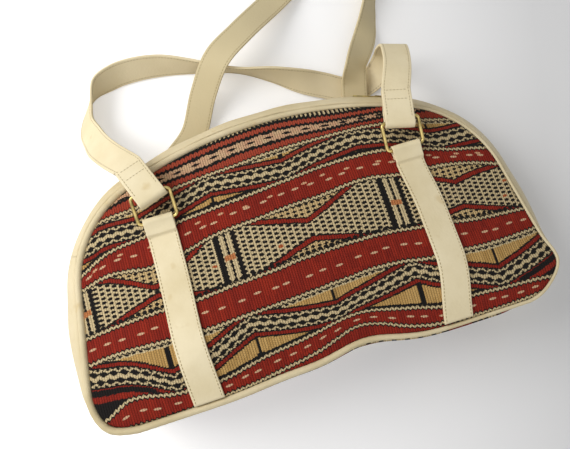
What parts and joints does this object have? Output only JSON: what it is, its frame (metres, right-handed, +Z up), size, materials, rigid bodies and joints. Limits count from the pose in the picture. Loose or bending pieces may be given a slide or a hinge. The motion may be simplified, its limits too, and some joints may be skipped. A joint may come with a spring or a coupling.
{
  "type": "kilim handbag",
  "caption": "Dome-shaped handbag of flat-woven kilim and leather, lying on its back, with a zip over the top and strap handles hung on wire rings.",
  "frame": {"origin": "middle of the underside of the box round the whole bag and its trailing handles", "axes": "+X along the bag's length, +Y from its base towards its zip, +Z up from the table, out of the front panel"},
  "size_m": [0.4468, 0.4108, 0.0959],
  "materials": {
    "kilim": "flat woven, ribbed",
    "leather": "satin, worn",
    "piping": "satin, worn",
    "zip_cloth": "woven tape",
    "metal": "aged, satin"
  },
  "bodies": {
    "bag": {"side_gusset_right": "leather", "side_gusset_left": "leather", "base_panel": "kilim", "zip_gusset_front": "leather", "zip_gusset_back": "leather", "zip_tape_front": "zip_cloth", "zip_tape_back": "zip_cloth", "zip_end_stop": "metal", "zip_top_stop_front": "metal", "zip_top_stop_back": "metal", "front_piping": "piping", "back_piping": "piping", "front_panel": "kilim", "back_panel": "kilim", "front_tab_left": "leather", "back_tab_left": "leather", "front_tab_right": "leather", "back_tab_right": "leather"},
    "front_ring_left": {"front_ring_left": "metal"},
    "front_ring_right": {"front_ring_right": "metal"},
    "front_handle": {"front_handle": "leather"},
    "back_ring_left": {"back_ring_left": "metal"},
    "back_ring_right": {"back_ring_right": "metal"},
    "back_handle": {"back_handle": "leather"},
    "zip_slider": {"zip_slider": "metal"},
    "zip_pull": {"zip_pull": "metal"}
  },
  "joints": [
    {"name": "front_ring_left_swing", "type": "hinge", "parent": "bag", "child": "front_ring_left", "pos_m": [0, -0.04015, 0.07989], "axis": [1, 0, 0], "range_deg": [0, 80], "deforming": ["front_handle"]},
    {"name": "front_ring_right_swing", "type": "hinge", "parent": "bag", "child": "front_ring_right", "pos_m": [0, -0.04015, 0.07989], "axis": [1, 0, 0], "range_deg": [0, 80]},
    {"name": "front_handle_swing", "type": "hinge", "parent": "front_ring_left", "child": "front_handle", "pos_m": [0, -0.01691, 0.0859], "axis": [1, 0, 0], "range_deg": [0, 45], "deforming": ["front_handle"]},
    {"name": "back_ring_left_swing", "type": "hinge", "parent": "bag", "child": "back_ring_left", "pos_m": [0, -0.04015, 0.0043], "axis": [-1, 0, 0], "range_deg": [0, 60], "deforming": ["back_handle"]},
    {"name": "back_ring_right_swing", "type": "hinge", "parent": "bag", "child": "back_ring_right", "pos_m": [0, -0.04015, 0.0043], "axis": [-1, 0, 0], "range_deg": [0, 60]},
    {"name": "back_handle_swing", "type": "hinge", "parent": "back_ring_left", "child": "back_handle", "pos_m": [0, -0.01615, 0.0043], "axis": [-1, 0, 0], "range_deg": [0, 10], "deforming": ["back_handle"]},
    {"name": "zip_slider_travel", "type": "hinge", "parent": "bag", "child": "zip_slider", "pos_m": [0, -0.33319, 0.05777], "axis": [0, 0.0698, 0.9976], "range_deg": [0, 36]},
    {"name": "zip_pull_swing", "type": "hinge", "parent": "zip_slider", "child": "zip_pull", "pos_m": [0.11428, 0.01895, 0.03317], "axis": [-0.0215, -0.0659, -0.9976], "range_deg": [0, 120]}
  ],
  "couplings": [
    {"joint": "front_ring_right_swing", "follows": "front_ring_left_swing", "ratio": 1},
    {"joint": "back_ring_right_swing", "follows": "back_ring_left_swing", "ratio": 1}
  ]
}
